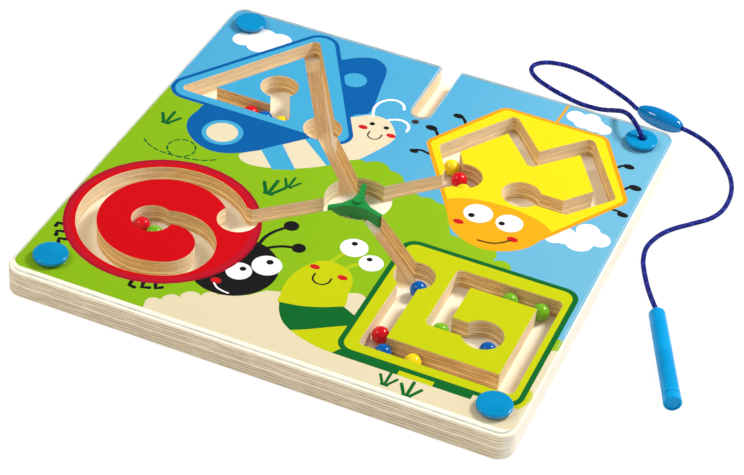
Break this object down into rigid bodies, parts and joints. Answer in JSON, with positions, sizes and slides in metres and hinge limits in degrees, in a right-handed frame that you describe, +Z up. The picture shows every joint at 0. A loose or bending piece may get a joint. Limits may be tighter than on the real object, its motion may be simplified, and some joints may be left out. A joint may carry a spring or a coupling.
{
  "type": "magnetic ball maze",
  "caption": "Square plywood board with four routed ball mazes under a clear cover, a central rotor, loose steel balls and a magnet wand on a cord.",
  "frame": {"origin": "centre of the board's underside, on the table", "axes": "+Z up from the table; +Y towards the edge where the wand slot opens; +X to the right seen from above with the slot at the far edge"},
  "size_m": [0.3699, 0.364, 0.0295],
  "materials": {
    "plywood": "satin",
    "clear_acrylic": "polished",
    "blue_plastic": "gloss",
    "green_plastic": "gloss",
    "steel": "satin",
    "magnet": "polished",
    "ball_red": "gloss",
    "ball_blue": "gloss",
    "ball_yellow": "gloss",
    "ball_green": "gloss",
    "cord": "braided"
  },
  "bodies": {
    "root": {"base_board": "plywood", "maze_board": "plywood", "clear_cover": "clear_acrylic", "corner_rivets": "blue_plastic", "cord_rivet": "blue_plastic", "keeper_screw": "steel", "rotor_axle": "steel"},
    "rotor": {"rotor": "green_plastic"},
    "ball_square_blue_1": {"ball_square_blue_1": "ball_blue"},
    "ball_square_red_1": {"ball_square_red_1": "ball_red"},
    "ball_square_blue_2": {"ball_square_blue_2": "ball_blue"},
    "ball_square_yellow_1": {"ball_square_yellow_1": "ball_yellow"},
    "ball_square_green_1": {"ball_square_green_1": "ball_green"},
    "ball_square_green_2": {"ball_square_green_2": "ball_green"},
    "ball_square_green_3": {"ball_square_green_3": "ball_green"},
    "ball_square_blue_3": {"ball_square_blue_3": "ball_blue"},
    "ball_hexagon_yellow_1": {"ball_hexagon_yellow_1": "ball_yellow"},
    "ball_hexagon_red_1": {"ball_hexagon_red_1": "ball_red"},
    "ball_hexagon_yellow_2": {"ball_hexagon_yellow_2": "ball_yellow"},
    "ball_spiral_red_1": {"ball_spiral_red_1": "ball_red"},
    "ball_spiral_green_1": {"ball_spiral_green_1": "ball_green"},
    "ball_triangle_red_1": {"ball_triangle_red_1": "ball_red"},
    "ball_triangle_blue_1": {"ball_triangle_blue_1": "ball_blue"},
    "ball_triangle_yellow_1": {"ball_triangle_yellow_1": "ball_yellow"},
    "cord_lead": {"cord_lead": "cord", "clasp_socket": "blue_plastic"},
    "clasp_plug": {"clasp_plug": "blue_plastic", "plug_knot": "cord"},
    "cord_tail": {"cord_tail": "cord"},
    "cord_end": {"cord_end": "cord"},
    "wand": {"wand_barrel": "blue_plastic", "wand_knot": "cord", "wand_tip": "blue_plastic", "wand_magnet": "magnet"}
  },
  "joints": [
    {"name": "rotor_spin", "type": "hinge", "parent": "root", "child": "rotor", "pos_m": [0, 0, 0.012], "axis": [0, 0, 1], "continuous": true},
    {"name": "square_blue_1_roll", "type": "slide", "parent": "root", "child": "ball_square_blue_1", "axis": [-0.5632, -0.8263, 0], "range_m": [-0.004, 0.0084]},
    {"name": "square_red_1_roll", "type": "slide", "parent": "root", "child": "ball_square_red_1", "axis": [0, 1, 0], "range_m": [-0.0027, 0.027]},
    {"name": "square_blue_2_roll", "type": "slide", "parent": "root", "child": "ball_square_blue_2", "axis": [1, 0, 0], "range_m": [-0.0055, 0.0034]},
    {"name": "square_yellow_1_roll", "type": "slide", "parent": "root", "child": "ball_square_yellow_1", "axis": [1, 0, 0], "range_m": [-0.0034, 0.05]},
    {"name": "square_green_1_roll", "type": "slide", "parent": "root", "child": "ball_square_green_1", "axis": [1, 0, 0], "range_m": [-0.026, 0.004]},
    {"name": "square_green_2_roll", "type": "slide", "parent": "root", "child": "ball_square_green_2", "axis": [1, 0, 0], "range_m": [-0.0045, 0.006]},
    {"name": "square_green_3_roll", "type": "slide", "parent": "root", "child": "ball_square_green_3", "axis": [1, 0, 0], "range_m": [-0.0015, 0.0085]},
    {"name": "square_blue_3_roll", "type": "slide", "parent": "root", "child": "ball_square_blue_3", "axis": [1, 0, 0], "range_m": [-0.01, 0.0009]},
    {"name": "hexagon_yellow_1_roll", "type": "slide", "parent": "root", "child": "ball_hexagon_yellow_1", "axis": [-0.499, 0.8666, 0], "range_m": [-0.0009, 0.0094]},
    {"name": "hexagon_red_1_roll", "type": "slide", "parent": "root", "child": "ball_hexagon_red_1", "axis": [0, 1, 0], "range_m": [-0.0008, 0.0021]},
    {"name": "hexagon_yellow_2_roll", "type": "slide", "parent": "root", "child": "ball_hexagon_yellow_2", "axis": [0.8541, 0.5201, 0], "range_m": [0, 0.0014]},
    {"name": "spiral_red_1_roll", "type": "slide", "parent": "root", "child": "ball_spiral_red_1", "axis": [0, 1, 0], "range_m": [-0.0015, 0.003]},
    {"name": "spiral_green_1_roll", "type": "slide", "parent": "root", "child": "ball_spiral_green_1", "axis": [0, 1, 0], "range_m": [0, 0.008]},
    {"name": "triangle_red_1_roll", "type": "slide", "parent": "root", "child": "ball_triangle_red_1", "axis": [1, 0, 0], "range_m": [-0.034, 0]},
    {"name": "triangle_blue_1_roll", "type": "slide", "parent": "root", "child": "ball_triangle_blue_1", "axis": [1, 0, 0], "range_m": [0, 0.001]},
    {"name": "triangle_yellow_1_roll", "type": "slide", "parent": "root", "child": "ball_triangle_yellow_1", "axis": [-0.4127, 0.9109, 0], "range_m": [0, 0.026]},
    {"name": "cord_swivel", "type": "hinge", "parent": "root", "child": "cord_lead", "pos_m": [0.132, 0.132, 0.005], "axis": [0, 0, 1], "range_deg": [-3, 8]},
    {"name": "clasp_release", "type": "slide", "parent": "cord_lead", "child": "clasp_plug", "axis": [0.9763, -0.2166, 0], "range_m": [0, 0.012]},
    {"name": "tail_swing", "type": "hinge", "parent": "clasp_plug", "child": "cord_tail", "pos_m": [0.14875, 0.17434, 0.00613], "axis": [0, 0, 1], "range_deg": [-2, 50]},
    {"name": "wand_swing", "type": "hinge", "parent": "cord_tail", "child": "cord_end", "pos_m": [0.18454, -0.00089, 0.00523], "axis": [0, 0, 1], "range_deg": [-20, 60]},
    {"name": "wand_lift", "type": "hinge", "parent": "cord_end", "child": "wand", "pos_m": [0.18454, -0.00089, 0.00523], "axis": [-0.9157, -0.4019, 0], "range_deg": [0, 75]}
  ]
}
